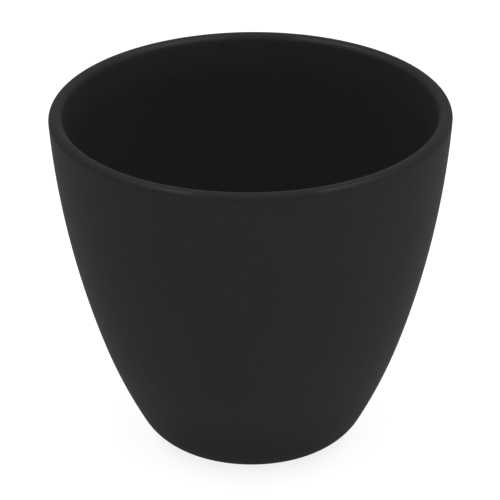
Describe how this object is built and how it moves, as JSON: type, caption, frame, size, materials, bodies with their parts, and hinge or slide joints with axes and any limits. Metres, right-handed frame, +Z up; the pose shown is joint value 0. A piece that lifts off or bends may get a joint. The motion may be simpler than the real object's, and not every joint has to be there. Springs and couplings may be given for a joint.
{
  "type": "empty candle jar",
  "caption": "Open matte black ceramic candle jar: tulip-shaped cup with a soft rounded lip, glazed inside and out, standing on a bare foot ring.",
  "frame": {"origin": "centre of the foot ring, on the plane the jar stands on", "axes": "+Z up the jar's axis, from the foot to the mouth; the jar is round, so +X and +Y are any two level directions at right angles"},
  "size_m": [0.1, 0.1, 0.088],
  "materials": {
    "bare_clay": "matte",
    "matte_glaze": "matte",
    "liner_glaze": "matte"
  },
  "bodies": {
    "root": {"ceramic_body": "bare_clay", "outside_glaze": "matte_glaze", "inside_glaze": "liner_glaze", "base_glaze": "matte_glaze"}
  },
  "joints": []
}
